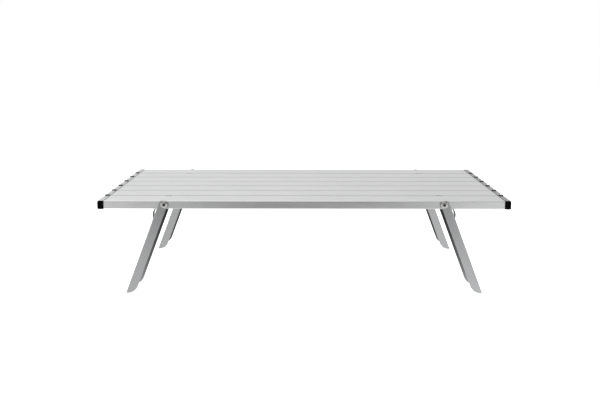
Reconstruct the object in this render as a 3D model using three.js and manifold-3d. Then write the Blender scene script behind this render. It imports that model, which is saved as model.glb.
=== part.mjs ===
// Low folding table: a slatted aluminium top on four folding channel legs.
// Millimetres. X runs along the table, the front edge faces -Y, Z is up.
// The origin is on the floor, under the centre of the top.

import * as THREE from 'three';
import { mergeVertices } from 'three/addons/utils/BufferGeometryUtils.js';
import Module from 'manifold-3d';

const wasm = await Module();
wasm.setup();

// ---- the top -------------------------------------------------------------
const HEIGHT = 136;             // floor to the top of the slats
const TOP_LENGTH = 600;         // over the two end rails
const TOP_DEPTH = 400;          // front face to back face
const SLAT_COUNT = 7;
const SLAT_PITCH = TOP_DEPTH / SLAT_COUNT;
const SLAT_THICK = 11.5;
const SLAT_HALF_LENGTH = 290.9;
const WALL = 1.2;               // wall of every extrusion
const SEAM_GAP = 0.4;           // between two ordinary slats
const SLOT_GAP = 1.8;           // beside an edge slat, where a leg flange swings
const CELL_HALF = 8.5;          // half width of the middle cell of a slat
const EDGE_CHAMFER = 0.5;
const BOTTOM_CHAMFER = 0.6;

// ---- end rails -------------------------------------------------------------
const RAIL_WIDTH = 8.8;
const RAIL_ABOVE = 0.4;         // rail top above the slats
const RAIL_BELOW = 0.5;
const RAIL_HEIGHT = SLAT_THICK + RAIL_ABOVE + RAIL_BELOW;
const RAIL_TOP = HEIGHT + RAIL_ABOVE;
const RAIL_OUTER = TOP_LENGTH / 2;
const RAIL_MID_X = RAIL_OUTER - RAIL_WIDTH / 2;
const RAIL_HALF_LENGTH = TOP_DEPTH / 2;
const PLUG_FACE = 1.3;
const PLUG_STUB = 7;
const PLUG_RADIUS = 2.2;

// ---- legs ------------------------------------------------------------------
const OPEN_ANGLE = THREE.MathUtils.degToRad(20.7);
const PIVOT_X = 203;
const PIVOT_DROP = 5.5;         // pivot line below the top of the slats
const PIVOT_Z = HEIGHT - PIVOT_DROP;
const WEB_OUT = 8.2;            // outer face of the web, from the pivot line
const LIP_IN = 4.6;             // open edge of the flanges, from the pivot line
const HEAD_RISE = 5.0;          // rounded top of a flange above the pivot
const FOOT_RADIUS = 17;
const CLEAR = 0.3;
const FLANGE_OUTER_Y = TOP_DEPTH / 2 + CLEAR + WALL;
const SEAM_EDGE_Y = TOP_DEPTH / 2 - SLAT_PITCH;
const FLANGE_INNER_Y = SEAM_EDGE_Y - WALL / 2;
const CHANNEL_MID_Y = (FLANGE_OUTER_Y + FLANGE_INNER_Y) / 2;

// ---- pivot hardware ----------------------------------------------------------
const PIN_RADIUS = 2.5;
const PIN_HOLE = 2.6;
const WASHER_RADIUS = 6.0;
const WASHER_THICK = 0.8;
const DOME_RADIUS = 5.2;
const DOME_HEIGHT = 2.6;
const CAP_RADIUS = 3.6;
const CAP_THICK = 1.2;
const FIT = 0.15;               // gap between two pieces that sit together

// ---- leaf catches ------------------------------------------------------------
const LEAF_THICK = 0.8;
const LEAF_WIDTH = 14;
const LEAF_GAP = 0.25;           // between the strip's tail and the web
const LEAF_RIVET_U = 34;        // rivet, measured down the leg from the pivot
// opening in the underside of an edge slat, measured outward from the pivot
const CATCH_SLOT = { inner: 9.4, outer: 15.0, halfWidth: 7.8 };

// ---- small helpers -------------------------------------------------------------
function toManifold(geometry) {
  const g = geometry.clone();
  for (const name of ['normal', 'uv']) {
    if (g.getAttribute(name)) g.deleteAttribute(name);
  }
  const merged = mergeVertices(g, 1e-4);
  const mesh = new wasm.Mesh({
    numProp: 3,
    vertProperties: new Float32Array(merged.getAttribute('position').array),
    triVerts: new Uint32Array(merged.getIndex().array),
  });
  mesh.merge();
  return new wasm.Manifold(mesh);
}

function toGeometry(solid) {
  const mesh = solid.getMesh();
  const g = new THREE.BufferGeometry();
  g.setAttribute('position', new THREE.BufferAttribute(new Float32Array(mesh.vertProperties), 3));
  g.setIndex(new THREE.BufferAttribute(new Uint32Array(mesh.triVerts), 1));
  g.computeVertexNormals();
  return g;
}

function cut(geometry, ...tools) {
  let solid = toManifold(geometry);
  for (const tool of tools) solid = solid.subtract(toManifold(tool));
  return toGeometry(solid);
}

function box(x0, x1, y0, y1, z0, z1) {
  const g = new THREE.BoxGeometry(x1 - x0, y1 - y0, z1 - z0);
  g.translate((x0 + x1) / 2, (y0 + y1) / 2, (z0 + z1) / 2);
  return g;
}

function shapeFrom(points) {
  const s = new THREE.Shape();
  points.forEach(([a, b], i) => (i ? s.lineTo(a, b) : s.moveTo(a, b)));
  return s;
}

// A (y, z) section drawn out along x.
function alongX(shape, x0, x1) {
  const g = new THREE.ExtrudeGeometry(shape, { depth: x1 - x0, bevelEnabled: false });
  g.applyMatrix4(new THREE.Matrix4().set(
    0, 0, 1, x0,
    1, 0, 0, 0,
    0, 1, 0, 0,
    0, 0, 0, 1));
  return g;
}

// An (x, z) section drawn out along y.
function alongY(shape, y0, y1) {
  const g = new THREE.ExtrudeGeometry(shape, { depth: y1 - y0, bevelEnabled: false });
  g.applyMatrix4(new THREE.Matrix4().set(
    1, 0, 0, 0,
    0, 0, -1, y1,
    0, 1, 0, 0,
    0, 0, 0, 1));
  return g;
}

// A turned part standing on its own origin. The profile is [radius, height]
// pairs, and the height runs along `toward`: '+y', '-y' or '+z'.
function turned(profile, segments, toward) {
  const g = new THREE.LatheGeometry(profile.map(([r, h]) => new THREE.Vector2(r, h)), segments);
  if (toward === '-y') g.rotateX(Math.PI);
  if (toward === '+z') g.rotateX(Math.PI / 2);
  return g;
}

function rodY(radius, x, z, y0, y1, segments = 16) {
  const g = new THREE.CylinderGeometry(radius, radius, y1 - y0, segments);
  g.translate(x, (y0 + y1) / 2, z);
  return g;
}

function rodZ(radius, x, y, z0, z1, segments = 12) {
  const g = new THREE.CylinderGeometry(radius, radius, z1 - z0, segments);
  g.rotateX(Math.PI / 2);
  g.translate(x, y, (z0 + z1) / 2);
  return g;
}

function roundedRect(x0, x1, z0, z1, r, steps = 4) {
  const out = [];
  const corners = [
    [x1 - r, z0 + r, -90], [x1 - r, z1 - r, 0], [x0 + r, z1 - r, 90], [x0 + r, z0 + r, 180],
  ];
  for (const [cx, cz, start] of corners) {
    for (let i = 0; i <= steps; i += 1) {
      const a = THREE.MathUtils.degToRad(start + (90 * i) / steps);
      out.push([cx + r * Math.cos(a), cz + r * Math.sin(a)]);
    }
  }
  return out;
}

const LOOKS = {
  slatAluminium: { color: 0xd4d5d6, metalness: 0.9, roughness: 0.38 },
  railAluminium: { color: 0xb4b5b7, metalness: 0.9, roughness: 0.34 },
  legAluminium: { color: 0xa3a4a6, metalness: 0.9, roughness: 0.42 },
  steel: { color: 0xcfcfcd, metalness: 1.0, roughness: 0.2 },
  springSteel: { color: 0x9a9a9a, metalness: 1.0, roughness: 0.3 },
  blackPlastic: { color: 0x111113, metalness: 0.0, roughness: 0.5 },
};

const root = new THREE.Group();
root.name = 'folding_table';

function add(name, geometry, look, position = [0, 0, 0], parent = root) {
  const mesh = new THREE.Mesh(geometry, new THREE.MeshStandardMaterial(LOOKS[look]));
  mesh.name = name;
  mesh.position.set(...position);
  parent.add(mesh);
  return mesh;
}

// ---- slats -----------------------------------------------------------------
// Slats are numbered from the front. The two edge slats carry the legs.
function slatLimits(index) {
  const seam = (k) => -TOP_DEPTH / 2 + k * SLAT_PITCH;
  const gapAt = (k) => (k === 1 || k === SLAT_COUNT - 1 ? SLOT_GAP : SEAM_GAP);
  const y0 = index === 1 ? seam(0) : seam(index - 1) + gapAt(index - 1) / 2;
  const y1 = index === SLAT_COUNT ? seam(SLAT_COUNT) : seam(index) - gapAt(index) / 2;
  return [y0, y1];
}

const TONGUE = { half: 1.0, reach: 1.6 };
const GROOVE = { half: 1.35, depth: 2.1 };
const THICK_WALL = 3.3;          // the wall that holds the groove or the notch

function slatSection(index) {
  const [y0, y1] = slatLimits(index);
  const top = HEIGHT;
  const bottom = HEIGHT - SLAT_THICK;
  const mid = (top + bottom) / 2;
  const groove = index >= 3 && index <= SLAT_COUNT - 1;
  const tongue = index >= 2 && index <= SLAT_COUNT - 2;
  const points = [
    [y0 + BOTTOM_CHAMFER, bottom], [y1 - BOTTOM_CHAMFER, bottom], [y1, bottom + BOTTOM_CHAMFER],
  ];
  if (tongue) {
    points.push([y1, mid - TONGUE.half], [y1 + TONGUE.reach, mid - TONGUE.half],
      [y1 + TONGUE.reach, mid + TONGUE.half], [y1, mid + TONGUE.half]);
  }
  points.push([y1, top - EDGE_CHAMFER], [y1 - EDGE_CHAMFER, top],
    [y0 + EDGE_CHAMFER, top], [y0, top - EDGE_CHAMFER]);
  if (groove) {
    points.push([y0, mid + GROOVE.half], [y0 + GROOVE.depth, mid + GROOVE.half],
      [y0 + GROOVE.depth, mid - GROOVE.half], [y0, mid - GROOVE.half]);
  }
  points.push([y0, bottom + BOTTOM_CHAMFER]);
  return shapeFrom(points);
}

// The three hollow cells that run the whole length of a slat.
function slatCells(index) {
  const [y0, y1] = slatLimits(index);
  const thickFront = index >= 2 && index <= SLAT_COUNT - 1;
  const thickBack = index === SLAT_COUNT - 1;
  const inner0 = y0 + (thickFront ? THICK_WALL : WALL);
  const inner1 = y1 - (thickBack ? THICK_WALL : WALL);
  const centre = (y0 + y1) / 2;
  const cells = [
    [inner0, centre - CELL_HALF - WALL],
    [centre - CELL_HALF, centre + CELL_HALF],
    [centre + CELL_HALF + WALL, inner1],
  ];
  const reach = SLAT_HALF_LENGTH + 1;
  return cells.map(([a, b]) => box(-reach, reach, a, b, HEIGHT - SLAT_THICK + WALL, HEIGHT - WALL));
}

for (let i = 1; i <= SLAT_COUNT; i += 1) {
  let slat = alongX(slatSection(i), -SLAT_HALF_LENGTH, SLAT_HALF_LENGTH);
  slat = cut(slat, ...slatCells(i));
  const [y0, y1] = slatLimits(i);
  const edge = i === 1 || i === SLAT_COUNT;
  const nextToEdge = i === 2 || i === SLAT_COUNT - 1;
  if (edge) {
    const tools = [];
    for (const side of [-1, 1]) {
      tools.push(rodY(PIN_HOLE, side * PIVOT_X, PIVOT_Z, y0 - 1, y1 + 1));
      const a = side * (PIVOT_X + CATCH_SLOT.inner);
      const b = side * (PIVOT_X + CATCH_SLOT.outer);
      const middle = (y0 + y1) / 2;
      const underside = HEIGHT - SLAT_THICK;
      tools.push(box(Math.min(a, b), Math.max(a, b), middle - CATCH_SLOT.halfWidth,
        middle + CATCH_SLOT.halfWidth, underside - 1, underside + WALL + 0.5));
    }
    slat = cut(slat, ...tools);
  }
  if (nextToEdge) {
    // notches for the inner ends of the pivot pins
    const depth = 1.7;
    const near = i === 2 ? [y0 - 1, y0 + depth] : [y1 - depth, y1 + 1];
    slat = cut(slat, ...[-1, 1].map((side) => box(side * PIVOT_X - 4.5, side * PIVOT_X + 4.5,
      near[0], near[1], HEIGHT - SLAT_THICK - 1, HEIGHT + 1)));
  }
  add(`slat_${i}`, slat, 'slatAluminium');
}

// ---- end rails, their plugs, joiners and screws --------------------------------
const SCREW = {
  shaft: 1.5, hole: 1.8, depth: 6.5, washer: 4.15, washerThick: 0.3, head: 2.2, headHeight: 0.8,
};
const seamYs = [];
for (let k = 1; k < SLAT_COUNT; k += 1) seamYs.push(-TOP_DEPTH / 2 + k * SLAT_PITCH);

const railSides = [['left', -1], ['right', 1]];
const railEnds = [['front', -1], ['back', 1]];

for (const [sideName, sx] of railSides) {
  // C section in (x, z), mouth toward the slats, drawn out along y
  const out = sx * RAIL_OUTER;
  const inn = sx * (RAIL_OUTER - RAIL_WIDTH);
  const wallX = sx * (RAIL_OUTER - WALL);
  const z1 = RAIL_TOP;
  const z0 = RAIL_TOP - RAIL_HEIGHT;
  const c = 0.8;
  const section = [
    [inn, z0], [out - sx * c, z0], [out, z0 + c], [out, z1 - c], [out - sx * c, z1],
    [inn + sx * 0.4, z1], [inn, z1 - 0.4], [inn, z1 - WALL], [wallX, z1 - WALL],
    [wallX, z0 + WALL], [inn, z0 + WALL],
  ];
  if (sx < 0) section.reverse();
  let rail = alongY(shapeFrom(section), -RAIL_HALF_LENGTH, RAIL_HALF_LENGTH);
  rail = cut(rail, ...seamYs.map((y) => rodZ(SCREW.hole, sx * RAIL_MID_X, y, z1 - WALL - 1, z1 + 1)));
  add(`end_rail_${sideName}`, rail, 'railAluminium');

  // joiner: one spine in the rail, one tongue in the middle cell of each slat
  const spineOut = RAIL_OUTER - WALL - CLEAR;
  const spineIn = RAIL_OUTER - RAIL_WIDTH + 0.5;
  const spineHalf = RAIL_HALF_LENGTH - 9;
  const tongueTip = SLAT_HALF_LENGTH - 15;
  const outline = [[spineOut, -spineHalf], [spineOut, spineHalf], [spineIn, spineHalf]];
  for (let i = SLAT_COUNT; i >= 1; i -= 1) {
    const [a, b] = slatLimits(i);
    const mid = (a + b) / 2;
    const half = CELL_HALF - CLEAR;
    outline.push([spineIn, mid + half], [tongueTip + 2, mid + half], [tongueTip, mid + half - 2],
      [tongueTip, mid - half + 2], [tongueTip + 2, mid - half], [spineIn, mid - half]);
  }
  outline.push([spineIn, -spineHalf]);
  const flat = outline.map(([x, y]) => [sx * x, y]);
  if (sx < 0) flat.reverse();
  flat.reverse();
  const middleZ = HEIGHT - SLAT_THICK / 2;
  let joiner = new THREE.ExtrudeGeometry(shapeFrom(flat), { depth: 7.6, bevelEnabled: false });
  joiner.translate(0, 0, middleZ - 3.8);
  joiner = cut(joiner, ...seamYs.map((y) => rodZ(SCREW.hole, sx * RAIL_MID_X, y,
    RAIL_TOP - SCREW.depth - 1, RAIL_TOP + 2)));
  add(`joiner_${sideName}`, joiner, 'blackPlastic');

  for (const [endName, sy] of railEnds) {
    const low = Math.min(out, inn);
    const stubEdges = [wallX - sx * CLEAR, inn + sx * 0.2];
    const face = shapeFrom(roundedRect(low, low + RAIL_WIDTH, z0, z1, PLUG_RADIUS));
    const stub = shapeFrom(roundedRect(Math.min(...stubEdges), Math.max(...stubEdges),
      z0 + WALL + CLEAR, z1 - WALL - CLEAR, 0.8, 2));
    const y = sy * RAIL_HALF_LENGTH;
    const faceY = [y + sy * FIT, y + sy * (FIT + PLUG_FACE)];
    const stubY = [y - sy * PLUG_STUB, y + sy * (FIT + PLUG_FACE / 2)];
    const plug = toManifold(alongY(face, Math.min(...faceY), Math.max(...faceY)))
      .add(toManifold(alongY(stub, Math.min(...stubY), Math.max(...stubY))));
    add(`rail_plug_${endName}_${sideName}`, toGeometry(plug), 'blackPlastic');
  }

  // screw: shaft, washer and domed head in one
  const s = SCREW;
  const screwProfile = [
    [0, -s.depth], [s.shaft, -s.depth], [s.shaft, 0], [s.washer, 0], [s.washer, s.washerThick],
    [s.head, s.washerThick], [s.head * 0.85, s.washerThick + s.headHeight * 0.6],
    [0, s.washerThick + s.headHeight],
  ];
  seamYs.forEach((y, k) => add(`end_screw_${sideName}_${k + 1}`, turned(screwProfile, 14, '+z'),
    'steel', [sx * RAIL_MID_X, y, RAIL_TOP + FIT]));
}

// ---- legs ------------------------------------------------------------------------
// (u, v) is the leg's own frame at its open stop: u runs down the leg from the
// pivot line, v points away from the middle of the table, across the web.
function legPoint(sx, u, v) {
  const s = Math.sin(OPEN_ANGLE);
  const c = Math.cos(OPEN_ANGLE);
  return [sx * (PIVOT_X + u * s + v * c), PIVOT_Z - u * c + v * s];
}

// u of the point on line v that lies at height z above the floor
function uAtHeight(v, z) {
  return (PIVOT_Z - z + v * Math.sin(OPEN_ANGLE)) / Math.cos(OPEN_ANGLE);
}

function legOutline(sx) {
  const points = [];
  const midV = (WEB_OUT - LIP_IN) / 2;
  const halfV = (WEB_OUT + LIP_IN) / 2;
  const headSteps = 12;
  for (let i = 0; i <= headSteps; i += 1) {
    const a = (Math.PI * i) / headSteps;
    points.push(legPoint(sx, -HEAD_RISE * Math.sin(a), midV - halfV * Math.cos(a)));
  }
  points.push(legPoint(sx, uAtHeight(WEB_OUT, 0), WEB_OUT));
  // rounded inner corner of the foot
  const turn = Math.PI / 2 + OPEN_ANGLE;
  const tangent = FOOT_RADIUS / Math.tan(turn / 2);
  const corner = legPoint(sx, uAtHeight(-LIP_IN, 0), -LIP_IN);
  const centre = [corner[0] + sx * tangent, FOOT_RADIUS];
  const sweep = Math.PI - turn;
  const steps = 6;
  for (let i = 0; i <= steps; i += 1) {
    const a = -Math.PI / 2 - (sweep * i) / steps;
    points.push([centre[0] + sx * FOOT_RADIUS * Math.cos(a), centre[1] + FOOT_RADIUS * Math.sin(a)]);
  }
  return points;
}

function leafOutline(sx) {
  // centre line of the strip: flat tail on the web, then a bow, tip upward
  const tail = WEB_OUT + LEAF_GAP + LEAF_THICK / 2;
  const line = [[41, tail], [36, tail], [31.4, tail], [29.2, tail + 0.35], [27.2, tail + 1.35],
    [25.0, tail + 2.6], [22.6, tail + 3.45], [20.0, tail + 3.8], [17.4, tail + 3.65],
    [14.9, tail + 3.1], [12.6, tail + 2.4], [10.8, tail + 1.95], [9.0, tail + 1.9]];
  const left = [];
  const right = [];
  line.forEach(([u, v], i) => {
    const a = line[Math.max(0, i - 1)];
    const b = line[Math.min(line.length - 1, i + 1)];
    const du = b[0] - a[0];
    const dv = b[1] - a[1];
    const n = Math.hypot(du, dv);
    const h = LEAF_THICK / 2;
    left.push([u - (dv / n) * h, v + (du / n) * h]);
    right.push([u + (dv / n) * h, v - (du / n) * h]);
  });
  return [...left, ...right.reverse()].map(([u, v]) => legPoint(sx, u, v));
}

function signedArea(points) {
  let sum = 0;
  points.forEach(([a, b], i) => {
    const [c, d] = points[(i + 1) % points.length];
    sum += a * d - c * b;
  });
  return sum;
}

// counter-clockwise copy of an outline
function turnedLeft(points) {
  return signedArea(points) > 0 ? points : [...points].reverse();
}

// A turned part whose axis runs across the web of a leg, head outward.
function acrossWeb(profile, segments, sx, u, v, y) {
  const g = new THREE.LatheGeometry(profile.map(([r, h]) => new THREE.Vector2(r, h)), segments);
  const outward = new THREE.Vector3(sx * Math.cos(OPEN_ANGLE), 0, Math.sin(OPEN_ANGLE));
  g.applyQuaternion(new THREE.Quaternion().setFromUnitVectors(new THREE.Vector3(0, 1, 0), outward));
  const [x, z] = legPoint(sx, u, v);
  g.translate(x, y, z);
  return g;
}

for (const [endName, sy] of railEnds) {
  for (const [sideName, sx] of railSides) {
    const place = `${endName}_${sideName}`;
    const [ya, yb] = [sy * FLANGE_OUTER_Y, sy * FLANGE_INNER_Y];
    const y0 = Math.min(ya, yb);
    const y1 = Math.max(ya, yb);

    const body = alongY(shapeFrom(turnedLeft(legOutline(sx))), y0, y1);
    // the hollow of the channel, and everything above the top edge of the web
    const far = 400;
    const stopZ = HEIGHT - SLAT_THICK - CLEAR;
    const webInner = WEB_OUT - WALL;
    const stopU = uAtHeight(webInner, stopZ);
    const hollow = [
      legPoint(sx, far, webInner), legPoint(sx, stopU, webInner),
      [sx * (PIVOT_X + 60), stopZ], [sx * (PIVOT_X + 60), stopZ + 60],
      [sx * (PIVOT_X - 60), stopZ + 60], legPoint(sx, far, webInner - 80),
    ];
    const hollowSolid = alongY(shapeFrom(turnedLeft(hollow)), y0 + WALL, y1 - WALL);
    const rivetHole = acrossWeb([[0, -4], [1.7, -4], [1.7, 4], [0, 4]], 16, sx, LEAF_RIVET_U, WEB_OUT,
      sy * CHANNEL_MID_Y);
    const pinHole = rodY(PIN_HOLE, sx * PIVOT_X, PIVOT_Z, y0 - 1, y1 + 1);
    add(`leg_${place}`, cut(body, hollowSolid, pinHole, rivetHole), 'legAluminium');

    const leaf = alongY(shapeFrom(turnedLeft(leafOutline(sx))), sy * CHANNEL_MID_Y - LEAF_WIDTH / 2,
      sy * CHANNEL_MID_Y + LEAF_WIDTH / 2);
    add(`leaf_catch_${place}`, cut(leaf, rivetHole), 'springSteel');

    const rivetFoot = -(LEAF_GAP + LEAF_THICK + WALL);
    add(`catch_rivet_${place}`, acrossWeb([
      [0, rivetFoot], [1.4, rivetFoot], [1.4, FIT], [2.9, FIT], [2.7, FIT + 0.6], [1.9, FIT + 1.1],
      [0, FIT + 1.3],
    ], 14, sx, LEAF_RIVET_U, WEB_OUT + LEAF_GAP + LEAF_THICK, sy * CHANNEL_MID_Y), 'steel');

    // pivot: dome-headed pin, spring washer under the head, push-on cap inside
    const pivot = new THREE.Group();
    pivot.position.set(sx * PIVOT_X, 0, PIVOT_Z);
    root.add(pivot);
    const outward = sy < 0 ? '-y' : '+y';
    const inward = sy < 0 ? '+y' : '-y';
    const washerY = FLANGE_OUTER_Y + FIT;
    const headY = washerY + WASHER_THICK + FIT;
    const capY = FLANGE_INNER_Y - CLEAR;
    const pinLength = headY - (capY - CAP_THICK - 0.1);
    const d = DOME_HEIGHT;
    const pin = [
      [0, -pinLength], [PIN_RADIUS, -pinLength], [PIN_RADIUS, 0], [DOME_RADIUS, 0],
      [DOME_RADIUS, d * 0.2], [DOME_RADIUS * 0.93, d * 0.56], [DOME_RADIUS * 0.74, d * 0.86],
      [DOME_RADIUS * 0.48, d], [DOME_RADIUS * 0.34, d], [DOME_RADIUS * 0.2, d - 0.8], [0, d - 0.8],
    ];
    add(`pivot_pin_${place}`, turned(pin, 20, outward), 'steel', [0, sy * headY, 0], pivot);

    const washer = [
      [PIN_HOLE, 0], [WASHER_RADIUS, 0], [WASHER_RADIUS, WASHER_THICK], [PIN_HOLE, WASHER_THICK],
      [PIN_HOLE, 0],
    ];
    add(`pivot_washer_${place}`, turned(washer, 24, outward), 'springSteel',
      [0, sy * washerY, 0], pivot);

    const bore = PIN_RADIUS + FIT;
    const cap = [[bore, 0], [CAP_RADIUS, 0], [CAP_RADIUS, CAP_THICK], [bore, CAP_THICK], [bore, 0]];
    add(`pivot_cap_${place}`, turned(cap, 18, inward), 'blackPlastic', [0, sy * capY, 0], pivot);
  }
}

export default root;
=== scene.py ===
"""Low folding table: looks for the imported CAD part. Metres, same frame as the CAD part."""

import math

import bmesh
import bpy
from mathutils import Matrix, Vector


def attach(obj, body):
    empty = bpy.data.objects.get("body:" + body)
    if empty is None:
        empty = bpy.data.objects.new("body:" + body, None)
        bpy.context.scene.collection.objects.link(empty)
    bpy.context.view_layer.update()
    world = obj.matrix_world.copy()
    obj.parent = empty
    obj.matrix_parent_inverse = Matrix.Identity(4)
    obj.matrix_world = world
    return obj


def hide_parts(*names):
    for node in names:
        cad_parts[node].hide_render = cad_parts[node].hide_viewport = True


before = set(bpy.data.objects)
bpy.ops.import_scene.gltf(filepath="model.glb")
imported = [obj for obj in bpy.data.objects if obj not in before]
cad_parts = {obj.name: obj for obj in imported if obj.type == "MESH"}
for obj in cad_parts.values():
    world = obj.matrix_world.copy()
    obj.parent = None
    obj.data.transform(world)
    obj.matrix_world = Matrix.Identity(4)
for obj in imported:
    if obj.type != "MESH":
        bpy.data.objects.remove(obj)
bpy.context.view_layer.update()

MM = 0.001

# ---- dimensions shared with the CAD part (metres) ---------------------------------
HEIGHT = 136 * MM
TOP_LENGTH = 600 * MM
TOP_DEPTH = 400 * MM
SLAT_COUNT = 7
SLAT_PITCH = TOP_DEPTH / SLAT_COUNT
SLAT_THICK = 11.5 * MM
SLAT_HALF_LENGTH = 290.9 * MM
WALL = 1.2 * MM
SEAM_GAP = 0.4 * MM
SLOT_GAP = 1.8 * MM
CELL_HALF = 8.5 * MM
THICK_WALL = 3.3 * MM

RAIL_WIDTH = 8.8 * MM
RAIL_TOP = HEIGHT + 0.4 * MM
RAIL_HEIGHT = 12.4 * MM
RAIL_OUTER = TOP_LENGTH / 2
RAIL_MID_X = RAIL_OUTER - RAIL_WIDTH / 2

OPEN_ANGLE = math.radians(20.7)
PIVOT_X = 203 * MM
PIVOT_Z = HEIGHT - 5.5 * MM
WEB_OUT = 8.2 * MM
LIP_IN = 4.6 * MM
HEAD_RISE = 5.0 * MM
FOOT_RADIUS = 17 * MM
FLANGE_OUTER_Y = TOP_DEPTH / 2 + 1.5 * MM
FLANGE_INNER_Y = TOP_DEPTH / 2 - SLAT_PITCH - 0.6 * MM
CHANNEL_MID_Y = (FLANGE_OUTER_Y + FLANGE_INNER_Y) / 2
FIT = 0.15 * MM
CLEAR = 0.3 * MM

# ---- dimensions of the fine shape (metres) -------------------------------------------
SLOT_SEAMS = (1, SLAT_COUNT - 1)       # the wider seams, where the legs' inner flanges swing
PIN_NOTCH = (4.5 * MM, 1.7 * MM)       # half length and depth, for the inner end of a pivot pin
CATCH_SLOT = (9.4 * MM, 15.0 * MM, 7.8 * MM)  # inner end, outer end, half width
SEAM_RADIUS = 1.1 * MM
SLOT_RADIUS = 0.5 * MM

# screw heads, taller and narrower than in the CAD part
SCREW_BASE = 0.4 * MM
SCREW_RISE = 1.9 * MM
SCREW_RADIUS = 1.9 * MM

PIN_BORE = 2.6 * MM
PIN_RADIUS = 2.5 * MM
PIN_HEAD_RADIUS = 5.2 * MM
PIN_HEAD_RISE = 2.6 * MM
PIN_HEAD_RIM = 0.35 * MM
DIMPLE_RADIUS = 2.1 * MM
PIVOT_WASHER_THICK = 0.8 * MM
PIVOT_CAP_THICK = 1.2 * MM

LEAF_THICK = 0.8 * MM
LEAF_GAP = 0.25 * MM
LEAF_HALF_WIDTH = 7 * MM
LEAF_SWELL = 0.07                      # half thickness gained with the bow; the CAD strip is even
LEAF_TAIL = 41.5 * MM
LEAF_TIP = 8.8 * MM
RIVET_BORE = 1.7 * MM
RIVET_DOWN = 34 * MM

# ---- tones that multiply a material's colour (1 leaves it as it is) ------------------
# painted shade inside the hollow of a pivot head
DIMPLE_SHADE_TONE = 0.1
# painted shade between two slats
SEAM_SHADE_TONE = 0.05
# painted shade line along the inner edge of an end rail
RAIL_EDGE_SHADE_TONE = 0.2
SLAT_LINES = 160.0                     # noise scale of the faint lines
SLAT_LINE_TONES = (0.98, 1.05)
# painted shade inside the leg channels
CHANNEL_SHADE_TONES = (0.80, 0.22)           # at the foot, at the pivot
# painted shade: extra darkening inside the rear legs' channels
REAR_CHANNEL_SHADE = 0.5

# ---- camera --------------------------------------------------------------------------
CAMERA_PLACE = (-1.4 * MM, -1696.5 * MM, 354.2 * MM)
CAMERA_PITCH = math.radians(8.235)
CAMERA_YAW = math.radians(0.175)
CAMERA_ROLL = math.radians(0.04)
SENSOR_WIDTH = 36
LENS = 1044 / 600 * SENSOR_WIDTH

# ---- brightness of the surroundings and the floor, as the metal mirrors them ---------
WORLD_FRONT = 0.50
WORLD_BACK = 0.77
WORLD_LEFT = 1.10
WORLD_RIGHT = 0.93
WORLD_ABOVE = 0.70
WORLD_ZENITH = 1.7
WORLD_BOX = 1.35
WORLD_BOX_EDGE = (0.72, 0.92)
# painted glow of the floor as the metal mirrors it: fading toward the camera, a darker patch in the middle,
# brighter to the right
FLOOR_FADE = (-1.25, -0.1)
FLOOR_TONES = (0.74, 0.93)
FLOOR_SIDES = (1.0, 1.17)
FLOOR_PATCH = 0.85
FLOOR_PATCH_FADE = (-0.80, -0.45)
FLOOR_PATCH_WIDTH = (0.16, 0.42)
FLOOR_SEEN = 0.9                       # glow of the floor as the camera sees it
CARD_HALF = 0.5
CARD_TOP = 0.9
CARD_Y = -1.8
CARD_TONE = 0.03

SIDES = (("left", -1), ("right", 1))
ENDS = (("front", -1), ("back", 1))
PLACES = [(f"{e}_{s}", sx, sy) for e, sy in ENDS for s, sx in SIDES]


# ---- outlines ------------------------------------------------------------------------
def rounded(points, radii, steps=5):
    """The closed outline through points with each corner turned into an arc."""
    if not isinstance(radii, (list, tuple)):
        radii = [radii] * len(points)
    out = []
    count = len(points)
    for i, radius in enumerate(radii):
        corner = Vector(points[i])
        before = (Vector(points[i - 1]) - corner).normalized()
        after = (Vector(points[(i + 1) % count]) - corner).normalized()
        if radius <= 0:
            out.append(tuple(corner))
            continue
        half = before.angle(after) / 2
        reach = radius / math.tan(half)
        centre = corner + (before + after).normalized() * (radius / math.sin(half))
        start = corner + before * reach - centre
        end = corner + after * reach - centre
        sweep = start.angle_signed(end)
        for k in range(steps + 1):
            turn = Matrix.Rotation(-sweep * k / steps, 2)
            out.append(tuple(centre + turn @ start))
    return out


def rectangle(a0, a1, b0, b1):
    return [(a0, b0), (a1, b0), (a1, b1), (a0, b1)]


# ---- meshes --------------------------------------------------------------------------
def along_x(a, b, t):
    return Vector((t, a, b))


def along_y(a, b, t):
    return Vector((a, t, b))


def prism(outlines, low, high, place):
    """A section (outer outline first, then its holes) drawn out from low to high."""
    bm = bmesh.new()
    edges = []
    for outline in outlines:
        verts = [bm.verts.new(place(a, b, low)) for a, b in outline]
        count = len(verts)
        edges += [bm.edges.new((verts[i], verts[(i + 1) % count])) for i in range(count)]
    if len(outlines) == 1:
        bm.faces.new(list(bm.verts))
    else:
        bmesh.ops.triangle_fill(bm, use_beauty=True, use_dissolve=False, edges=edges)
    grown = bmesh.ops.extrude_face_region(bm, geom=list(bm.faces))["geom"]
    moved = [g for g in grown if isinstance(g, bmesh.types.BMVert)]
    bmesh.ops.translate(bm, verts=moved, vec=place(0, 0, high) - place(0, 0, low))
    bmesh.ops.recalc_face_normals(bm, faces=bm.faces)
    return to_mesh(bm)


def lathe(profile, segments=48):
    """A (radius, height) profile turned about local Z, closed where it meets the axis."""
    bm = bmesh.new()
    rings = []
    for radius, height in profile:
        if radius <= 1e-7:
            rings.append([bm.verts.new((0, 0, height))])
        else:
            rings.append([
                bm.verts.new((radius * math.cos(t), radius * math.sin(t), height))
                for t in (2 * math.pi * k / segments for k in range(segments))
            ])
    closed = profile[0] == profile[-1]
    if closed:
        for v in rings[-1]:
            bm.verts.remove(v)
        rings[-1] = rings[0]
    for low, high in zip(rings, rings[1:]):
        for k in range(segments):
            n = (k + 1) % segments
            if len(low) == 1 and len(high) == 1:
                continue
            if len(low) == 1:
                bm.faces.new((low[0], high[n], high[k]))
            elif len(high) == 1:
                bm.faces.new((low[k], low[n], high[0]))
            else:
                bm.faces.new((low[k], low[n], high[n], high[k]))
    bmesh.ops.recalc_face_normals(bm, faces=bm.faces)
    return to_mesh(bm)


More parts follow.
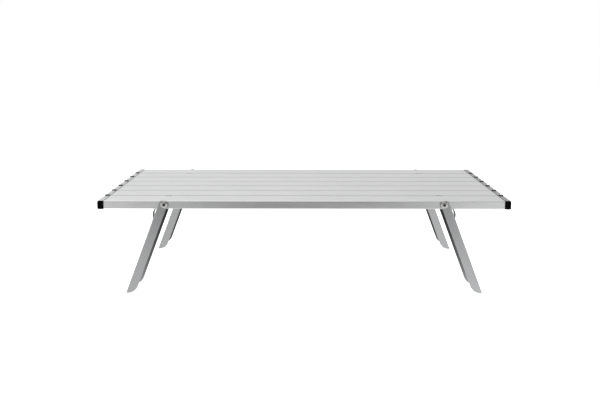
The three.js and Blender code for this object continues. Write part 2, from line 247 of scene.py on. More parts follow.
def loft(loops):
    """A skin over closed loops of equal length, capped at both ends."""
    bm = bmesh.new()
    rings = [[bm.verts.new(p) for p in loop] for loop in loops]
    count = len(rings[0])
    for low, high in zip(rings, rings[1:]):
        for k in range(count):
            n = (k + 1) % count
            bm.faces.new((low[k], low[n], high[n], high[k]))
    bm.faces.new(rings[0])
    bm.faces.new(rings[-1])
    bmesh.ops.recalc_face_normals(bm, faces=bm.faces)
    return to_mesh(bm)


def to_mesh(bm):
    mesh = bpy.data.meshes.new("piece")
    bm.to_mesh(mesh)
    bm.free()
    return mesh


def boolean(mesh, tools, operation):
    """The mesh with each tool mesh cut away from it (or met with it)."""
    target = bpy.data.objects.new("target", mesh)
    bpy.context.scene.collection.objects.link(target)
    helpers = []
    for tool in tools:
        helper = bpy.data.objects.new("tool", tool)
        bpy.context.scene.collection.objects.link(helper)
        helpers.append(helper)
        modifier = target.modifiers.new("cut", "BOOLEAN")
        modifier.object = helper
        modifier.operation = operation
        modifier.solver = "EXACT"
    bpy.context.view_layer.update()
    graph = bpy.context.evaluated_depsgraph_get()
    result = bpy.data.meshes.new_from_object(target.evaluated_get(graph))
    for o in [target, *helpers]:
        bpy.data.objects.remove(o)
    return result


def moved(mesh, matrix):
    mesh.transform(matrix)
    if matrix.determinant() < 0:
        mesh.flip_normals()
    return mesh


def mesh_box(x0, x1, y0, y1, z0, z1):
    return prism([rectangle(x0, x1, z0, z1)], y0, y1, along_y)


# ---- pieces ----------------------------------------------------------------------------
def piece(name, mesh, material, body, nodes=(), edge=0.0, matrix=None, smooth=38):
    """Puts a mesh in the scene as a finished piece that rides on a body."""
    mesh.name = name
    mesh.materials.clear()
    mesh.materials.append(material)
    mesh.polygons.foreach_set("use_smooth", [True] * len(mesh.polygons))
    mesh.set_sharp_from_angle(angle=math.radians(smooth))
    if matrix is not None:
        mesh.transform(matrix)
    obj = bpy.data.objects.new(name, mesh)
    bpy.context.scene.collection.objects.link(obj)
    if edge:
        bevel = obj.modifiers.new("edge", "BEVEL")
        bevel.width = edge
        bevel.segments = 2
        bevel.limit_method = "ANGLE"
        bevel.angle_limit = math.radians(40)
        bevel.harden_normals = True
    else:
        weigh = obj.modifiers.new("normals", "WEIGHTED_NORMAL")
        weigh.keep_sharp = True
        weigh.weight = 100
    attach(obj, body)
    if nodes:
        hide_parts(*nodes)
    return obj


# ---- materials ---------------------------------------------------------------------------
def node_setup(name):
    material = bpy.data.materials.new(name)
    material.use_nodes = True
    tree = material.node_tree
    tree.nodes.clear()
    out = tree.nodes.new("ShaderNodeOutputMaterial")
    shader = tree.nodes.new("ShaderNodeBsdfPrincipled")
    tree.links.new(shader.outputs["BSDF"], out.inputs["Surface"])
    return material, tree, shader


def noise(tree, vector, scale, detail=2.0, roughness=0.5):
    n = tree.nodes.new("ShaderNodeTexNoise")
    n.inputs["Scale"].default_value = scale
    n.inputs["Detail"].default_value = detail
    n.inputs["Roughness"].default_value = roughness
    tree.links.new(vector, n.inputs["Vector"])
    return n.outputs["Fac"]


def stretched(tree, scale, turn=0.0):
    """Object coordinates turned about Y, then scaled: small along the grain."""
    coords = tree.nodes.new("ShaderNodeTexCoord")
    mapping = tree.nodes.new("ShaderNodeMapping")
    mapping.vector_type = "TEXTURE"
    mapping.inputs["Rotation"].default_value = (0, turn, 0)
    mapping.inputs["Scale"].default_value = [1 / s for s in scale]
    tree.links.new(coords.outputs["Object"], mapping.inputs["Vector"])
    return mapping.outputs["Vector"]


def to_range(tree, value, low, high):
    m = tree.nodes.new("ShaderNodeMapRange")
    m.inputs["From Min"].default_value = 0.3
    m.inputs["From Max"].default_value = 0.7
    m.inputs["To Min"].default_value = low
    m.inputs["To Max"].default_value = high
    tree.links.new(value, m.inputs["Value"])
    return m.outputs["Result"]


def mixed(tree, factor, first, second):
    m = tree.nodes.new("ShaderNodeMix")
    m.data_type = "RGBA"
    tree.links.new(factor, m.inputs["Factor"])
    m.inputs[6].default_value = (*first, 1)
    m.inputs[7].default_value = (*second, 1)
    return m.outputs[2]


def scaled(tree, colour, factor):
    m = tree.nodes.new("ShaderNodeVectorMath")
    m.operation = "SCALE"
    tree.links.new(colour, m.inputs[0])
    tree.links.new(factor, m.inputs["Scale"])
    return m.outputs[0]


def ramp(tree, value, low, high, first, last):
    """first below low, last above high, smooth between."""
    m = tree.nodes.new("ShaderNodeMapRange")
    m.interpolation_type = "SMOOTHSTEP"
    m.inputs["From Min"].default_value = low
    m.inputs["From Max"].default_value = high
    m.inputs["To Min"].default_value = first
    m.inputs["To Max"].default_value = last
    tree.links.new(value, m.inputs["Value"])
    return m.outputs["Result"]


def maths(tree, operation, a, b=0.0):
    """A math node on sockets or plain numbers. An operation on one value ignores b."""
    m = tree.nodes.new("ShaderNodeMath")
    m.operation = operation
    for socket, value in zip(m.inputs, (a, b)):
        if isinstance(value, (int, float)):
            socket.default_value = value
        else:
            tree.links.new(value, socket)
    return m.outputs[0]


def object_axes(tree):
    """The object's own x, y and z, in metres."""
    coords = tree.nodes.new("ShaderNodeTexCoord")
    split = tree.nodes.new("ShaderNodeSeparateXYZ")
    tree.links.new(coords.outputs["Object"], split.inputs["Vector"])
    return split.outputs


def bumped(tree, shader, height, strength, distance):
    b = tree.nodes.new("ShaderNodeBump")
    b.inputs["Strength"].default_value = strength
    b.inputs["Distance"].default_value = distance
    tree.links.new(height, b.inputs["Height"])
    tree.links.new(b.outputs["Normal"], shader.inputs["Normal"])


def brushed_metal(name, light, dark, roughness, grain, line_strength=0.25, patch=9.0, turn=0.0,
                  shade=None):
    """Metal with fine die lines. grain is the mapping scale, small along the lines.

    shade(tree) gives a factor that darkens the colour where little light gets in.
    """
    material, tree, shader = node_setup(name)
    shader.inputs["Metallic"].default_value = 1.0
    lines = noise(tree, stretched(tree, grain, turn), 1.0, 3.0, 0.6)
    patches = noise(tree, stretched(tree, (1, 1, 1)), patch, 2.0, 0.5)
    colour = mixed(tree, to_range(tree, patches, 0, 1), light, dark)
    if shade:
        colour = scaled(tree, colour, shade(tree))
    tree.links.new(colour, shader.inputs["Base Color"])
    halves = [to_range(tree, value, roughness[0] / 2, roughness[1] / 2) for value in (lines, patches)]
    tree.links.new(maths(tree, "ADD", *halves), shader.inputs["Roughness"])
    bumped(tree, shader, lines, line_strength, 0.00002)
    return material


def moulded_plastic(name, colour, worn, roughness, gloss):
    material, tree, shader = node_setup(name)
    shader.inputs["Specular IOR Level"].default_value = gloss
    grain = noise(tree, stretched(tree, (1, 1, 1)), 2600.0, 2.0, 0.5)
    patches = noise(tree, stretched(tree, (1, 1, 1)), 60.0, 3.0, 0.5)
    tree.links.new(mixed(tree, to_range(tree, patches, 0, 1), colour, worn), shader.inputs["Base Color"])
    tree.links.new(to_range(tree, patches, *roughness), shader.inputs["Roughness"])
    bumped(tree, shader, grain, 0.35, 0.00004)
    return material


def painted_seam_shade_and_lines(tree):
    """Faint lines along the slat, and painted shade between two slats.

    The outer edges and the underside keep their full tone.
    """
    y, z = object_axes(tree)[1:]
    # painted shade: dark just below the slat's top, in the rounded edges and gaps of the seams
    depth = ramp(tree, z, HEIGHT - 0.12 * MM, HEIGHT - 0.02 * MM, SEAM_SHADE_TONE, 1.0)
    edge = TOP_DEPTH / 2
    outside = ramp(tree, maths(tree, "ABSOLUTE", y), edge - 2 * MM, edge - 1.5 * MM, 0.0, 1.0)
    under = ramp(tree, z, HEIGHT - SLAT_THICK + MM, HEIGHT - SLAT_THICK + 2 * MM, 1.0, 0.0)
    seam = maths(tree, "MAXIMUM", maths(tree, "MAXIMUM", depth, outside), under)
    streaks = noise(tree, stretched(tree, (0.3, 1, 1)), SLAT_LINES, 2.0, 0.6)
    lines = to_range(tree, streaks, *SLAT_LINE_TONES)
    return maths(tree, "MULTIPLY", seam, lines)


def painted_rail_edge_shade(tree):
    """Painted shade line along the inner edge of an end rail, where the slats run under it."""
    x = maths(tree, "ABSOLUTE", object_axes(tree)[0])
    inner = RAIL_OUTER - RAIL_WIDTH
    return ramp(tree, x, inner + 0.3 * MM, inner + 0.9 * MM, RAIL_EDGE_SHADE_TONE, 1.0)


def painted_channel_shade(sx):
    def shade(tree):
        """Painted shade inside the channel, darkest near the pivot and darker again on the rear legs."""
        x, y, z = object_axes(tree)
        away = maths(tree, "SUBTRACT", maths(tree, "MULTIPLY", x, sx), PIVOT_X)
        up = maths(tree, "SUBTRACT", z, PIVOT_Z)
        across = maths(tree, "ADD", maths(tree, "MULTIPLY", away, math.cos(OPEN_ANGLE)),
                       maths(tree, "MULTIPLY", up, math.sin(OPEN_ANGLE)))
        beyond = maths(tree, "SUBTRACT", maths(tree, "ABSOLUTE", y), CHANNEL_MID_Y)
        off_middle = maths(tree, "ABSOLUTE", beyond)
        half = (FLANGE_OUTER_Y - FLANGE_INNER_Y) / 2 - WALL
        beside = maths(tree, "LESS_THAN", off_middle, half + FIT)
        within = maths(tree, "LESS_THAN", across, WEB_OUT - WALL / 2)
        inside = maths(tree, "MULTIPLY", beside, within)
        tone = maths(tree, "MULTIPLY", ramp(tree, up, -HEIGHT, 0.0, *CHANNEL_SHADE_TONES),
                     ramp(tree, y, -0.1, 0.1, 1.0, REAR_CHANNEL_SHADE))
        lost = maths(tree, "MULTIPLY", inside, maths(tree, "SUBTRACT", 1.0, tone))
        return maths(tree, "SUBTRACT", 1.0, lost)

    return shade


def painted_dimple_shade(tree):
    """Painted shade inside the hollow in the middle of a pivot head."""
    x, _, z = object_axes(tree)
    across = maths(tree, "SUBTRACT", maths(tree, "ABSOLUTE", x), PIVOT_X)
    up = maths(tree, "SUBTRACT", z, PIVOT_Z)
    squares = [maths(tree, "POWER", maths(tree, "ABSOLUTE", v), 2.0) for v in (across, up)]
    radius = maths(tree, "SQRT", maths(tree, "ADD", *squares))
    return ramp(tree, radius, DIMPLE_RADIUS - 0.3 * MM, DIMPLE_RADIUS + 0.1 * MM, DIMPLE_SHADE_TONE, 1.0)


slat_metal = brushed_metal("slat_anodised", (0.83, 0.832, 0.835), (0.80, 0.805, 0.81), (0.30, 0.40),
                           (6, 900, 900), shade=painted_seam_shade_and_lines)
# the same part on both sides; the right one's colour is painted darker, as shade
rail_metal = {
    "left": brushed_metal("rail_anodised_left", (0.70, 0.705, 0.71), (0.66, 0.665, 0.67), (0.26, 0.34),
                          (900, 6, 900), shade=painted_rail_edge_shade),
    "right": brushed_metal("rail_anodised_shaded_right", (0.36, 0.365, 0.37), (0.32, 0.325, 0.33), (0.26, 0.34),
                           (900, 6, 900), shade=painted_rail_edge_shade),
}
leg_metal = {
    sx: brushed_metal(f"leg_brushed_{side}", (0.51, 0.515, 0.52), (0.47, 0.475, 0.48), (0.28, 0.38),
                      (1000, 1000, 8), 0.4, turn=-sx * OPEN_ANGLE, shade=painted_channel_shade(sx))
    for side, sx in SIDES
}
steel = brushed_metal("polished_steel", (0.92, 0.92, 0.91), (0.84, 0.84, 0.83), (0.30, 0.40),
                      (300, 300, 300), 0.05, 120.0)
dome_steel = brushed_metal("dome_steel", (0.54, 0.54, 0.53), (0.48, 0.48, 0.47), (0.10, 0.15),
                           (300, 300, 300), 0.05, 120.0, shade=painted_dimple_shade)
washer_steel = brushed_metal("washer_steel", (0.42, 0.42, 0.42), (0.34, 0.34, 0.34), (0.25, 0.35),
                             (300, 300, 300), 0.1, 120.0)
spring_steel = {
    sx: brushed_metal(f"spring_steel_{side}", (0.15, 0.15, 0.149), (0.10, 0.10, 0.099), (0.25, 0.35),
                      (700, 700, 12), 0.3, 60.0, turn=-sx * OPEN_ANGLE)
    for side, sx in SIDES
}
plastic = moulded_plastic("black_nylon", (0.002, 0.002, 0.0022), (0.004, 0.004, 0.0042), (0.42, 0.55), 0.04)
washer_plastic = moulded_plastic("washer_nylon", (0.003, 0.003, 0.0032), (0.005, 0.005, 0.0052),
                                 (0.40, 0.52), 0.0)


# ---- slats -----------------------------------------------------------------------------
def seam_y(k):
    return -TOP_DEPTH / 2 + k * SLAT_PITCH


def top_radius(k):
    """Radius of the top edges that meet at seam k."""
    return SLOT_RADIUS if k in SLOT_SEAMS else SEAM_RADIUS


def slat_limits(index):
    def gap(k):
        return SLOT_GAP if k in SLOT_SEAMS else SEAM_GAP

    y0 = seam_y(0) if index == 1 else seam_y(index - 1) + gap(index - 1) / 2
    y1 = seam_y(SLAT_COUNT) if index == SLAT_COUNT else seam_y(index) - gap(index) / 2
    return y0, y1


def slat_outlines(index):
    y0, y1 = slat_limits(index)
    top = HEIGHT
    bottom = HEIGHT - SLAT_THICK
    mid = (top + bottom) / 2
    tongue = 2 <= index <= SLAT_COUNT - 2
    groove = 3 <= index <= SLAT_COUNT - 1
    points = [(y0, bottom), (y1, bottom)]
    radii = [(0.6 if outer else 0.4) * MM for outer in (index == 1, index == SLAT_COUNT)]
    if tongue:
        reach = y1 + 1.6 * MM
        points += [(y1, mid - MM), (reach, mid - MM), (reach, mid + MM), (y1, mid + MM)]
        radii += [0.2 * MM, 0.4 * MM, 0.4 * MM, 0.2 * MM]
    points += [(y1, top), (y0, top)]
    radii += [top_radius(index), top_radius(index - 1)]
    if groove:
        deep = y0 + 2.1 * MM
        half = 1.35 * MM
        points += [(y0, mid + half), (deep, mid + half), (deep, mid - half), (y0, mid - half)]
        radii += [0.3 * MM, 0.2 * MM, 0.2 * MM, 0.3 * MM]
    inner0 = y0 + (THICK_WALL if 2 <= index <= SLAT_COUNT - 1 else WALL)
    inner1 = y1 - (THICK_WALL if index == SLAT_COUNT - 1 else WALL)
    centre = (y0 + y1) / 2
    cells = [(inner0, centre - CELL_HALF - WALL), (centre - CELL_HALF, centre + CELL_HALF),
             (centre + CELL_HALF + WALL, inner1)]
    holes = [rounded(rectangle(a, b, bottom + WALL, top - WALL), 0.5 * MM, 2) for a, b in cells]
    return [rounded(points, radii), *holes]


def rod(radius, length, segments):
    return lathe([(0, 0), (radius, 0), (radius, length), (0, length)], segments)


def pin_tool(x, y0, y1):
    turn = Matrix.Translation((x, y0, PIVOT_Z)) @ Matrix.Rotation(-math.pi / 2, 4, "X")
    return moved(rod(PIN_BORE, y1 - y0, 32), turn)


def slat_tools(index):
    """What is cut from a slat: pin bore and catch slot in the outer ones, a notch in their neighbours."""
    y0, y1 = slat_limits(index)
    middle = (y0 + y1) / 2
    bottom = HEIGHT - SLAT_THICK
    inner, outer, half_width = CATCH_SLOT
    half_notch, deep = PIN_NOTCH
    tools = []
    for side in (-1, 1):
        x = side * PIVOT_X
        if index in (1, SLAT_COUNT):
            tools.append(pin_tool(x, y0 - MM, y1 + MM))
            slot = sorted((x + side * inner, x + side * outer))
            tools.append(mesh_box(*slot, middle - half_width, middle + half_width,
                                  bottom - MM, bottom + WALL + CLEAR))
        elif index in (2, SLAT_COUNT - 1):
            notch = (y0 - MM, y0 + deep) if index == 2 else (y1 - deep, y1 + MM)
            tools.append(mesh_box(x - half_notch, x + half_notch, *notch, bottom - MM, HEIGHT + MM))
    return tools


def make_slats():
    for index in range(1, SLAT_COUNT + 1):
        mesh = prism(slat_outlines(index), -SLAT_HALF_LENGTH, SLAT_HALF_LENGTH, along_x)
        tools = slat_tools(index)
        if tools:
            mesh = boolean(mesh, tools, "DIFFERENCE")
        piece(f"slat_{index}_extrusion", mesh, slat_metal, "table_top",
              [f"slat_{index}"])


# ---- end rails ---------------------------------------------------------------------------
def make_end_rails():
    z0 = RAIL_TOP - RAIL_HEIGHT
    z1 = RAIL_TOP
    for side, sx in SIDES:
        out = sx * RAIL_OUTER
        inn = sx * (RAIL_OUTER - RAIL_WIDTH)
        wall = sx * (RAIL_OUTER - WALL)
        section = [(inn, z0), (out, z0), (out, z1), (inn, z1), (inn, z1 - WALL),
                   (wall, z1 - WALL), (wall, z0 + WALL), (inn, z0 + WALL)]
        radii = [0.25 * MM, 1.1 * MM, 1.1 * MM, 0.35 * MM, 0.2 * MM, 0.4 * MM, 0.4 * MM, 0.2 * MM]
        mesh = prism([rounded(section, radii)], -TOP_DEPTH / 2, TOP_DEPTH / 2, along_y)
        piece(f"end_rail_{side}_channel", mesh, rail_metal[side], "table_top",
              [f"end_rail_{side}"])
        for end, sy in ENDS:
            make_plug(f"rail_plug_{end}_{side}", min(out, inn), z0, z1, sy)


def make_plug(name, x0, z0, z1, sy):
    """Rounded cap over the end of a rail, with a soft front edge and a stub inside."""
    x1 = x0 + RAIL_WIDTH
    face = TOP_DEPTH / 2 + FIT
    thick = 1.3 * MM
    soft = 0.55 * MM
    loops = []

    def ring(inset, y, radius):
        outline = rounded(rectangle(x0 + inset, x1 - inset, z0 + inset, z1 - inset), radius, 6)
        loops.append([(a, sy * y, b) for a, b in outline])

    ring(1.6 * MM, face - 7 * MM, 0.8 * MM)
    ring(1.5 * MM, face - 0.02 * MM, 0.8 * MM)
    ring(0.1 * MM, face, 2.1 * MM)
    ring(0.0, face + 0.1 * MM, 2.2 * MM)
    for k in range(6):
        a = math.radians(18 * k)
        inset = soft * (1 - math.cos(a))
        ring(inset, face + thick - soft + soft * math.sin(a), 2.2 * MM - inset)
    piece(f"{name}_cap", loft(loops), plastic, "table_top", [name])


# ---- end screws -----------------------------------------------------------------------------
def cross_recess(top):
    """Tapered cross cut into the crown of a screw head."""
    bars = []
    for turn in (0, math.pi / 2):
        loops = []
        floor_of_cross = (top - 0.75 * MM, 0.5 * MM, 0.25 * MM)
        mouth_of_cross = (top + 0.3 * MM, 1.35 * MM, 0.38 * MM)
        for z, length, width in (floor_of_cross, mouth_of_cross):
            loops.append([(length * a, width * b, z) for a, b in ((-1, -1), (1, -1), (1, 1), (-1, 1))])
        bars.append(moved(loft(loops), Matrix.Rotation(turn, 4, "Z")))
    return bars


def screw_head_mesh():
    dome = [(SCREW_RADIUS, SCREW_BASE)]
    steps = 7
    for k in range(1, steps + 1):
        a = math.radians(90 * k / steps)
        radius = SCREW_RADIUS * math.cos(a) ** 0.7 if k < steps else 0
        dome.append((radius, SCREW_BASE + SCREW_RISE * math.sin(a)))
    shaft = [(0, -6.5 * MM), (1.2 * MM, -6.5 * MM), (1.5 * MM, -5.9 * MM), (1.5 * MM, SCREW_BASE)]
    return boolean(lathe(shaft + dome, 32), cross_recess(SCREW_BASE + SCREW_RISE), "DIFFERENCE")


def washer_mesh(bore, radius, thick, soft, segments=48):
    section = rounded([(bore, 0), (radius, 0), (radius, thick), (bore, thick)],
                      [0.08 * MM, 0.12 * MM, soft, 0.12 * MM], 4)
    return lathe([*section, section[0]], segments)


def make_end_screws():
    for side, sx in SIDES:
        for k in range(1, SLAT_COUNT):
            place = Matrix.Translation((sx * RAIL_MID_X, seam_y(k), RAIL_TOP + FIT))
            name = f"end_screw_{side}_{k}"
            spin = Matrix.Rotation(math.radians(37 * k + 20 * sx), 4, "Z")
            piece(f"{name}_head", screw_head_mesh(), steel, "table_top", [name],
                  matrix=place @ spin)
            piece(f"{name}_washer", washer_mesh(1.6 * MM, 3.6 * MM, 0.9 * MM, 0.3 * MM), washer_plastic,
                  "table_top", matrix=place)


# ---- legs --------------------------------------------------------------------------------------
def leg_matrix(sx, sy):
    """Frame of a leg at its open stop: X points outward across the web, -Z down the leg."""
    return (Matrix.Translation((sx * PIVOT_X, sy * CHANNEL_MID_Y, PIVOT_Z))
            @ Matrix.Rotation(-sx * OPEN_ANGLE, 4, "Y"))


def u_at_height(v, z):
    return (PIVOT_Z - z + v * math.sin(OPEN_ANGLE)) / math.cos(OPEN_ANGLE)


def leg_outline():
    """Side outline of a leg in (v, -u), for a leg whose web faces +v."""
    points = []
    mid = (WEB_OUT - LIP_IN) / 2
    half = (WEB_OUT + LIP_IN) / 2
    steps = 28
    for k in range(steps + 1):
        a = math.pi * k / steps
        points.append((mid + half * math.cos(a), HEAD_RISE * math.sin(a)))
    # foot: level cut with its inner corner rounded
    outer = (WEB_OUT, -u_at_height(WEB_OUT, 0))
    inner = (-LIP_IN, -u_at_height(-LIP_IN, 0))
    foot = rounded([(-LIP_IN, 0), inner, outer, (WEB_OUT, 0)], [0, FOOT_RADIUS, 0.5 * MM, 0], 14)
    return points + foot[1:-1]


def at_rivet(v):
    """Frame on the rivet's line, Z pointing out of the web, at distance v from the pivot's line."""
    return Matrix.Translation((v, 0, -RIVET_DOWN)) @ Matrix.Rotation(math.pi / 2, 4, "Y")


def rivet_tool():
    return moved(rod(RIVET_BORE, 8 * MM, 24), at_rivet(WEB_OUT - 4 * MM))


def leg_mesh():
    width = FLANGE_OUTER_Y - FLANGE_INNER_Y
    half = width / 2
    low = -u_at_height(-LIP_IN, -30 * MM)
    web_in = WEB_OUT - WALL
    section = rounded(
        [(-20 * MM, -half), (WEB_OUT, -half), (WEB_OUT, half), (-20 * MM, half), (-20 * MM, half - WALL),
         (web_in, half - WALL), (web_in, -half + WALL), (-20 * MM, -half + WALL)],
        [0, 1.6 * MM, 1.6 * MM, 0, 0, 0.8 * MM, 0.8 * MM, 0], 8)
    channel = prism([section], low, 20 * MM, lambda a, b, t: Vector((a, b, t)))
    side = prism([leg_outline()], -half - MM, half + MM, along_y)
    mesh = boolean(channel, [side], "INTERSECT")
    # above its top edge the web is cut away between the flanges
    stop = HEIGHT - SLAT_THICK - CLEAR - PIVOT_Z
    sin, cos = math.sin(OPEN_ANGLE), math.cos(OPEN_ANGLE)

    def local(x, z):
        return (x * cos + z * sin, -x * sin + z * cos)

    notch = [local(-30 * MM, stop), local(40 * MM, stop), local(40 * MM, 60 * MM), local(-30 * MM, 60 * MM)]
    notch_mesh = prism([notch], -half + WALL, half - WALL, along_y)
    turn = Matrix.Rotation(-math.pi / 2, 4, "X")
    bore = moved(rod(PIN_BORE, width + 4 * MM, 32), Matrix.Translation((0, -half - 2 * MM, 0)) @ turn)
    return boolean(mesh, [notch_mesh, bore, rivet_tool()], "DIFFERENCE")


def leaf_line():
    """Centre line of a leaf catch in (v, -u): flat tail, then a bow, tip upward."""
    tail = WEB_OUT + LEAF_GAP + LEAF_THICK / 2
    knots = [(41, 0), (36, 0), (31.4, 0), (29.2, 0.35), (27.2, 1.35), (25.0, 2.6), (22.6, 3.45),
             (20.0, 3.8), (17.4, 3.65), (14.9, 3.1), (12.6, 2.4), (10.8, 1.95), (9.0, 1.9)]
    points = [Vector((tail + v * MM, -u * MM)) for u, v in knots]
    for _ in range(2):
        fine = [points[0]]
        for a, b in zip(points, points[1:]):
            fine += [a.lerp(b, 0.25), a.lerp(b, 0.75)]
        points = [*fine, points[-1]]
    return points


def leaf_mesh():
    """The strip, a little thicker at its bow than at its tail."""
    line = leaf_line()
    tail = line[0].x
    left, right = [], []
    for i, point in enumerate(line):
        step = line[min(i + 1, len(line) - 1)] - line[max(i - 1, 0)]
        half = LEAF_THICK / 2 + LEAF_SWELL * (point.x - tail)
        normal = Vector((-step.y, step.x)).normalized() * half
        left.append(tuple(point + normal))
        right.append(tuple(point - normal))
    strip = prism([left + right[::-1]], -LEAF_HALF_WIDTH, LEAF_HALF_WIDTH, along_y)
    # rounded corners at the tail and the tip
    outline = rounded(rectangle(-LEAF_HALF_WIDTH, LEAF_HALF_WIDTH, -LEAF_TAIL, -LEAF_TIP),
                      [3 * MM, 3 * MM, 1.6 * MM, 1.6 * MM], 8)
    plan = prism([outline], WEB_OUT - 2 * MM, WEB_OUT + 12 * MM, along_x)
    strip = boolean(strip, [plan], "INTERSECT")
    return boolean(strip, [rivet_tool()], "DIFFERENCE")


def rivet_mesh():
    foot = -2.25 * MM
    crown = [(2.9, 0), (2.9, 0.25), (2.75, 0.6), (2.35, 0.95), (1.7, 1.2), (0.9, 1.3), (0, 1.3)]
    head = [(radius * MM, FIT + height * MM) for radius, height in crown]
    return lathe([(0, foot), (1.4 * MM, foot), (1.4 * MM, FIT), *head], 32)


def make_legs():
    channel = leg_mesh()
    leaf = leaf_mesh()
    rivet = rivet_mesh()
    mirror = Matrix.Scale(-1, 4, (1, 0, 0))
    seat = at_rivet(WEB_OUT + LEAF_GAP + LEAF_THICK)
    for place, sx, sy in PLACES:
        stand = leg_matrix(sx, sy)
        flip = mirror if sx < 0 else Matrix.Identity(4)
        leg = f"leg_{place}"
        catch = f"catch_{place}"
        piece(f"{leg}_channel", moved(channel.copy(), flip), leg_metal[sx], leg,
              [leg], edge=0.22 * MM, matrix=stand)
        piece(f"leaf_{catch}_strip", moved(leaf.copy(), flip), spring_steel[sx], catch,
              [f"leaf_{catch}"], edge=0.12 * MM, matrix=stand)
        piece(f"catch_rivet_{place}_turned", moved(rivet.copy(), flip @ seat), steel, catch,
              [f"catch_rivet_{place}"], matrix=stand)


# ---- pivots ---------------------------------------------------------------------------------------
def pin_profile(length):
    """Pin shaft under a domed head with a hollow in its middle."""
    radius = PIN_HEAD_RADIUS
    rise = PIN_HEAD_RISE
    bulge = rise - PIN_HEAD_RIM
    ball = (radius ** 2 + bulge ** 2) / (2 * bulge)
    crown = [(radius - 0.06 * MM, 0), (radius, 0.08 * MM)]
    steps = 14
    for k in range(steps + 1):
        r = radius + (DIMPLE_RADIUS - radius) * k / steps
        crown.append((r, rise - ball + math.sqrt(ball ** 2 - r ** 2)))
    crown += [(DIMPLE_RADIUS - 0.2 * MM, rise - 0.5 * MM), (1.04 * MM, rise - MM), (0, rise - 1.05 * MM)]
    soft = 0.3 * MM
    shaft = [(0, -length), (PIN_RADIUS - soft, -length), (PIN_RADIUS, -length + soft), (PIN_RADIUS, 0)]
    return shaft + crown


def make_pivots():
    washer_y = FLANGE_OUTER_Y + FIT
    head_y = washer_y + PIVOT_WASHER_THICK + FIT
    cap_y = FLANGE_INNER_Y - CLEAR
    length = head_y - (cap_y - 1.3 * MM)
    for place, sx, sy in PLACES:
        outward = Matrix.Rotation(-sy * math.pi / 2, 4, "X")
        inward = Matrix.Rotation(sy * math.pi / 2, 4, "X")

        def at(y):
            return Matrix.Translation((sx * PIVOT_X, sy * y, PIVOT_Z))

        piece(f"pivot_pin_{place}_turned", lathe(pin_profile(length), 64), dome_steel, "table_top",
              [f"pivot_pin_{place}"], matrix=at(head_y) @ outward)
        piece(f"pivot_washer_{place}_ring",
              washer_mesh(PIN_BORE, 6.0 * MM, PIVOT_WASHER_THICK, 0.35 * MM, 64),
              washer_steel, "table_top", [f"pivot_washer_{place}"],
              matrix=at(washer_y) @ outward)
        piece(f"pivot_cap_{place}_ring",
              washer_mesh(2.65 * MM, 3.6 * MM, PIVOT_CAP_THICK, 0.3 * MM, 40),
              washer_plastic, "table_top", [f"pivot_cap_{place}"],
              matrix=at(cap_y) @ inward)


def finish_joiners():
    for side, _ in SIDES:
        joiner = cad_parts[f"joiner_{side}"]
        joiner.data.materials.clear()
        joiner.data.materials.append(plastic)


# ---- stage -----------------------------------------------------------------------------------------
def make_camera():
    data = bpy.data.cameras.new("camera")
    data.lens = LENS
    data.sensor_width = SENSOR_WIDTH
    data.clip_start = 0.01
    camera = bpy.data.objects.new("camera", data)
    bpy.context.scene.collection.objects.link(camera)
    camera.matrix_world = (Matrix.Translation(CAMERA_PLACE) @ Matrix.Rotation(CAMERA_YAW, 4, "Z")
                           @ Matrix.Rotation(math.pi / 2 - CAMERA_PITCH, 4, "X")
                           @ Matrix.Rotation(CAMERA_ROLL, 4, "Z"))
    bpy.context.scene.camera = camera


def area_light(name, place, target, size, power):
    data = bpy.data.lights.new(name, "AREA")
    data.shape = "RECTANGLE"
    data.size, data.size_y = size
    data.energy = power
    light = bpy.data.objects.new(name, data)
    light.location = place
    light.rotation_euler = (Vector(target) - Vector(place)).to_track_quat("-Z", "Y").to_euler()
    bpy.context.scene.collection.objects.link(light)


def stage_piece(name, material_name, mesh, surface):
    """Puts a mesh on the stage. surface(tree) gives its shaders for mirrored rays and for the camera."""
    material = bpy.data.materials.new(material_name)
    material.use_nodes = True
    tree = material.node_tree
    tree.nodes.clear()
    out = tree.nodes.new("ShaderNodeOutputMaterial")
    path = tree.nodes.new("ShaderNodeLightPath")
    either = tree.nodes.new("ShaderNodeMixShader")
    mirrored, seen = surface(tree)
    tree.links.new(path.outputs["Is Camera Ray"], either.inputs[0])
    tree.links.new(mirrored.outputs[0], either.inputs[1])
    tree.links.new(seen.outputs[0], either.inputs[2])
    tree.links.new(either.outputs[0], out.inputs["Surface"])
    mesh.materials.append(material)
    obj = bpy.data.objects.new(name, mesh)
    bpy.context.scene.collection.objects.link(obj)


def floor_surface(tree):
    x, y = object_axes(tree)[:2]
    # painted glow for mirrored rays, not light falling on the floor
    fade = ramp(tree, y, *FLOOR_FADE, *FLOOR_TONES)
    near = ramp(tree, y, *FLOOR_PATCH_FADE, FLOOR_PATCH, 0.0)
    middle = ramp(tree, maths(tree, "ABSOLUTE", x), *FLOOR_PATCH_WIDTH, 1.0, 0.0)
    patch = maths(tree, "MULTIPLY", near, middle)
    sides = ramp(tree, x, -0.25, 0.25, *FLOOR_SIDES)
    painted_glow = maths(tree, "MULTIPLY", fade, maths(tree, "SUBTRACT", 1.0, patch))
    glow = tree.nodes.new("ShaderNodeEmission")
    tree.links.new(maths(tree, "MULTIPLY", painted_glow, sides), glow.inputs["Strength"])
    seen_glow = tree.nodes.new("ShaderNodeEmission")
    seen_glow.inputs["Strength"].default_value = FLOOR_SEEN
    matt = tree.nodes.new("ShaderNodeBsdfDiffuse")
    matt.inputs["Color"].default_value = (0.9, 0.9, 0.9, 1)
    seen = tree.nodes.new("ShaderNodeAddShader")
    tree.links.new(seen_glow.outputs[0], seen.inputs[0])
    tree.links.new(matt.outputs[0], seen.inputs[1])
    return glow, seen


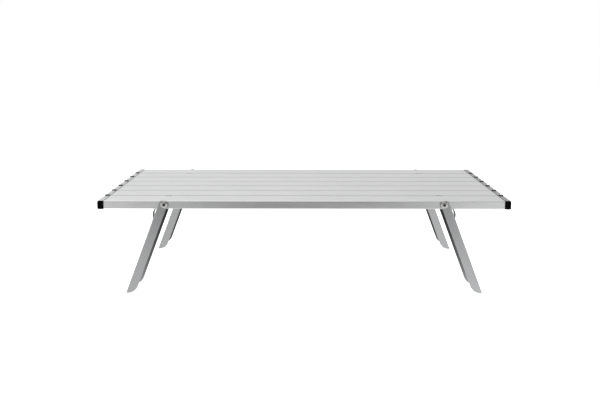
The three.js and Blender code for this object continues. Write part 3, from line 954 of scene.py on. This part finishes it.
def make_floor():
    """Pale floor that glows instead of being lit. It looks white to the camera. Mirrored in metal its
    painted glow is dimmer toward the camera and in a patch in the middle, and brighter to the right.
    """
    sheet = rounded(rectangle(-8, 8, -8, 8), 1.0, 6)
    mesh = prism([sheet], -0.02, -0.0005, lambda a, b, t: Vector((a, b, t)))
    stage_piece("floor", "floor_white", mesh, floor_surface)


def card_surface(tree):
    dark = tree.nodes.new("ShaderNodeEmission")
    dark.inputs["Strength"].default_value = CARD_TONE
    return dark, tree.nodes.new("ShaderNodeBsdfTransparent")


def make_dark_card():
    """Upright card behind the camera, for the pin heads and the front edge to mirror.

    The camera can't see it from any side.
    """
    card = mesh_box(-CARD_HALF, CARD_HALF, CARD_Y - 0.01, CARD_Y, 0.02, CARD_TOP)
    stage_piece("dark_card", "card_dark", card, card_surface)


def make_world():
    """Surroundings that look white to the camera.

    Mirrored in metal they are dimmer on the camera's side and high up, and brighter to the left,
    far out to both sides and straight above.
    """
    world = bpy.data.worlds.new("studio")
    bpy.context.scene.world = world
    world.use_nodes = True
    tree = world.node_tree
    background = tree.nodes["Background"]
    background.inputs["Color"].default_value = (1, 1, 1, 1)
    coords = tree.nodes.new("ShaderNodeTexCoord")
    split = tree.nodes.new("ShaderNodeSeparateXYZ")
    tree.links.new(coords.outputs["Generated"], split.inputs["Vector"])
    x, y, z = split.outputs
    depth = ramp(tree, y, -0.9, 0.3, WORLD_FRONT, WORLD_BACK)
    sides = ramp(tree, x, -0.25, 0.25, WORLD_LEFT, WORLD_RIGHT)
    above = ramp(tree, z, 0.25, 0.8, 1.0, WORLD_ABOVE)
    zenith = ramp(tree, z, 0.80, 0.95, 1.0, WORLD_ZENITH)
    above = maths(tree, "MULTIPLY", above, zenith)
    boxes = ramp(tree, maths(tree, "ABSOLUTE", x), *WORLD_BOX_EDGE, 1.0, WORLD_BOX)
    across = maths(tree, "MULTIPLY", depth, sides)
    light = maths(tree, "MULTIPLY", across, maths(tree, "MULTIPLY", above, boxes))
    path = tree.nodes.new("ShaderNodeLightPath")
    seen = tree.nodes.new("ShaderNodeMix")
    tree.links.new(path.outputs["Is Camera Ray"], seen.inputs["Factor"])
    tree.links.new(light, seen.inputs["A"])
    seen.inputs["B"].default_value = 1.0
    tree.links.new(seen.outputs["Result"], background.inputs["Strength"])


def make_stage():
    make_floor()
    make_dark_card()
    make_world()
    area_light("overhead", (-0.3, 0.1, 1.5), (0, 0, 0), (1.6, 1.2), 5)
    bpy.context.scene.view_settings.view_transform = "Standard"


make_slats()
make_end_rails()
make_end_screws()
make_legs()
make_pivots()
finish_joiners()
make_camera()
make_stage()
